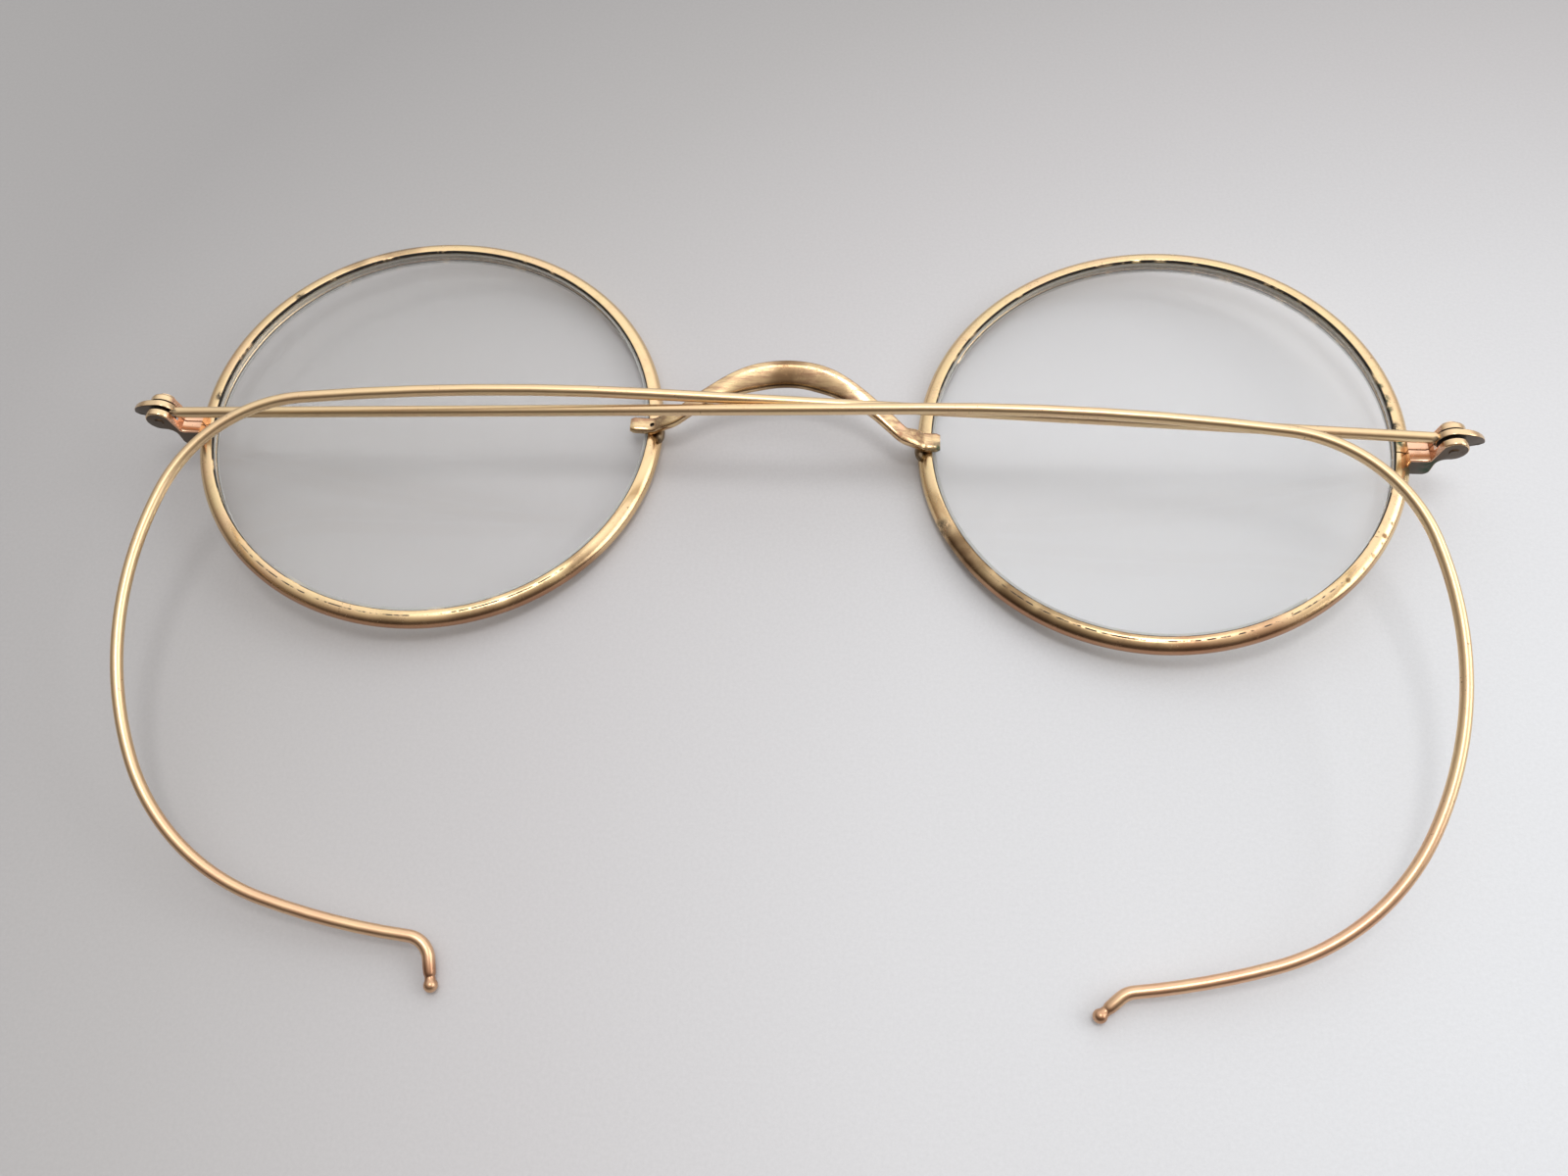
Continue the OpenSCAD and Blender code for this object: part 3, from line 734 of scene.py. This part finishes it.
def temple_path(side):
    """Centre line of one temple in its own plane, from the ring on, as (along, across, heading)."""
    s = SETS[side]
    bends = [SWEEP, CROWN, BACK, (LOBE_R, s["lobe"]), (TAIL_R, math.degrees(s["tail"] / TAIL_R)),
             (TIP_BEND_R, -s["turn"])]
    at = (STRAIGHT, 0.0, 0.0)
    out = [(RING_END - 0.6 + (STRAIGHT - RING_END + 0.6) * i / 40, 0.0, 0.0) for i in range(41)]
    for radius, turn in bends:
        steps = max(6, math.ceil(abs(turn) / 2))
        bend = math.copysign(1, turn) * radius
        start = at
        for k in range(1, steps + 1):
            heading = start[2] + turn * k / steps
            a0, a1 = math.radians(start[2]), math.radians(heading)
            at = (start[0] + bend * (math.sin(a1) - math.sin(a0)),
                  start[1] + bend * (math.cos(a0) - math.cos(a1)), heading)
            out.append(at)
    return out


def beyond(at, step):
    """A place further on along the heading of a point of the centre line."""
    heading = math.radians(at[2])
    return at[0] + step * math.cos(heading), at[1] + step * math.sin(heading), at[2]


def round_ring(at, r, r_flat=None, count=24, square=1.0):
    """Section of the wire; r_flat is its radius in the temple's plane, and square under 1 makes it boxier."""
    heading = math.radians(at[2])
    across = r_flat or r
    ring = []
    for j in range(count):
        a = 2 * math.pi * j / count
        c, d = math.cos(a), math.sin(a)
        if square < 1:
            c, d = math.copysign(abs(c) ** square, c), math.copysign(abs(d) ** square, d)
        x, y = at[0] - across * c * math.sin(heading), at[1] + across * c * math.cos(heading)
        ring.append(Vector((x, y, r * d)))
    return ring


def temple(side):
    path = temple_path(side)
    bm = bmesh.new()
    # flattened shank from the ring's eye, thin between the lugs, swelling into the round wire
    rings = [round_ring((LUG_R - 0.25, 0, 0), 0.40, 0.25, square=0.5),
             round_ring((LUG_R + 0.1, 0, 0), 0.44, 0.27, square=0.55),
             round_ring((RING_END - 0.7, 0, 0), WIRE_R, 0.42, square=0.7)]
    rings += [round_ring(at, WIRE_R) for at in path]
    # neck, then ball
    neck = ((0.3, WIRE_R), (0.6, 0.47), (0.9, 0.46), (1.1, 0.44), (1.22, 0.4), (1.28, 0.37), (1.34, 0.38))
    for step, r in neck:
        rings.append(round_ring(beyond(path[-1], step), r))
    for k in range(12):
        a = math.radians(50 + 128 * k / 11)
        step = TIP_NECK + BALL_R - BALL_R * math.cos(a)
        rings.append(round_ring(beyond(path[-1], step), BALL_R * math.sin(a)))
    skin(bm, rings)
    obj = finish_mesh(side + "_temple_and_hook", bm, temple_matrix(side), [wire_gold], sharp=60)
    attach(obj, side + "_temple")
    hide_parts(side + "_temple_wire", side + "_ear_hook", side + "_ball_tip")


for side in SIDES:
    eyewire(side)
    lens(side)
    endpiece(side, True)
    endpiece(side, False)
    joint_screw(side)
    temple_ring(side)
    temple(side)
bridge()


# ---------------------------------------------------------------- table, light and camera

def table_top():
    """Pale table with a painted pool of light towards the right front, painted shade towards the back, and a
    fine grain.
    """
    bpy.ops.mesh.primitive_plane_add(size=3, location=(0, 0, 0))
    floor = bpy.context.object
    floor.name = "table_top"
    mat, tree, shader = new_material("pale_table")
    coords = tree.nodes.new("ShaderNodeTexCoord").outputs["Object"]
    # painted pool of light: the floor colour is lightest round a point at the right front and darker with
    # distance from it
    far = maths(tree, "MULTIPLY", distance(tree, coords, (70, -26, 0)), 2.5)
    shade = ramp(tree, far, (
        (0.05, (0.74, 0.765, 0.80)), (0.15, (0.68, 0.69, 0.715)), (0.22, (0.585, 0.58, 0.595)),
        (0.29, (0.49, 0.485, 0.49)), (0.38, (0.41, 0.405, 0.41)), (0.65, (0.48, 0.48, 0.48))))
    split = tree.nodes.new("ShaderNodeSeparateXYZ")
    join(tree, coords, split.inputs[0])
    # painted shade: the floor colour darkens towards the back
    back = ramp(tree, maths(tree, "MULTIPLY", split.outputs["Y"], 5.0), ((0.1, 1.0), (0.5, 0.78)))
    shade = blend(tree, 1.0, shade, back, "MULTIPLY")
    grain = ramp(tree, noise(tree, coords, 3400, 3, 0.8), ((0.3, 0.93), (0.7, 1.0)))
    join(tree, blend(tree, 1.0, shade, grain, "MULTIPLY"), shader.inputs["Base Color"])
    shader.inputs["Roughness"].default_value = 0.6
    floor.data.materials.append(mat)


def light(name, place, target, size, power, colour=(1, 1, 1)):
    data = bpy.data.lights.new(name, "AREA")
    data.shape = "RECTANGLE"
    data.size, data.size_y = size
    data.energy = power
    data.color = colour
    obj = bpy.data.objects.new(name, data)
    bpy.context.scene.collection.objects.link(obj)
    obj.location = place
    obj.rotation_euler = (Vector(target) - Vector(place)).to_track_quat("-Z", "Y").to_euler()


def camera():
    pitch, yaw, roll = math.radians(PITCH), math.radians(YAW), math.radians(ROLL)
    forward = Vector((-math.sin(yaw) * math.cos(pitch), math.cos(yaw) * math.cos(pitch), -math.sin(pitch)))
    right = forward.cross(Vector((0, 0, 1))).normalized()
    up = right.cross(forward)
    turned_right = math.cos(roll) * right + math.sin(roll) * up
    turned_up = -math.sin(roll) * right + math.cos(roll) * up
    data = bpy.data.cameras.new("photo_camera")
    data.sensor_width = SENSOR_W
    data.lens = SENSOR_W * FOCAL_PIXELS / PHOTO_PIXELS
    data.clip_start = 0.005
    obj = bpy.data.objects.new("photo_camera", data)
    bpy.context.scene.collection.objects.link(obj)
    axes = Matrix((turned_right, turned_up, -forward)).transposed().to_4x4()
    obj.matrix_world = Matrix.Translation(LOOK_AT - forward * CAMERA_DIST) @ axes
    bpy.context.scene.camera = obj


def room():
    """Soft room: bright above and at the back, an even grey at the horizon, brighter to the right."""
    world = bpy.data.worlds.new("studio")
    world.use_nodes = True
    tree = world.node_tree
    coords = tree.nodes.new("ShaderNodeTexCoord").outputs["Generated"]
    split = tree.nodes.new("ShaderNodeSeparateXYZ")
    join(tree, coords, split.inputs[0])
    height = maths(tree, "MULTIPLY", split.outputs["Z"], 0.8)
    tilt = maths(tree, "ADD", height, maths(tree, "MULTIPLY", split.outputs["Y"], 0.6))
    sky = ramp(tree, tilt, ((0.0, (0.10, 0.08, 0.07)), (0.28, (0.31, 0.26, 0.23)),
                            (0.55, (0.64, 0.59, 0.55)), (0.8, 1.1), (1.0, 1.25)))
    side = ramp(tree, maths(tree, "MULTIPLY_ADD", split.outputs["X"]), ((0.0, 0.72), (1.0, 1.3)))
    low = between(tree, split.outputs["Z"], 0.16, 0.04)
    sky = blend(tree, low, sky, (0.50, 0.49, 0.485))
    back = tree.nodes["Background"]
    join(tree, blend(tree, 1.0, sky, side, "MULTIPLY"), back.inputs["Color"])
    back.inputs["Strength"].default_value = 1.08
    bpy.context.scene.world = world


table_top()
camera()
room()
light("overhead", (0.03, 0.02, 0.6), (0, 0, 0), (0.15, 0.15), 0.66, (1, 0.99, 0.98))
light("window", (0.8, 0.03, 0.45), (0.03, 0, 0), (0.7, 0.45), 2.5, (0.97, 0.99, 1))
bpy.context.scene.view_settings.view_transform = "Standard"
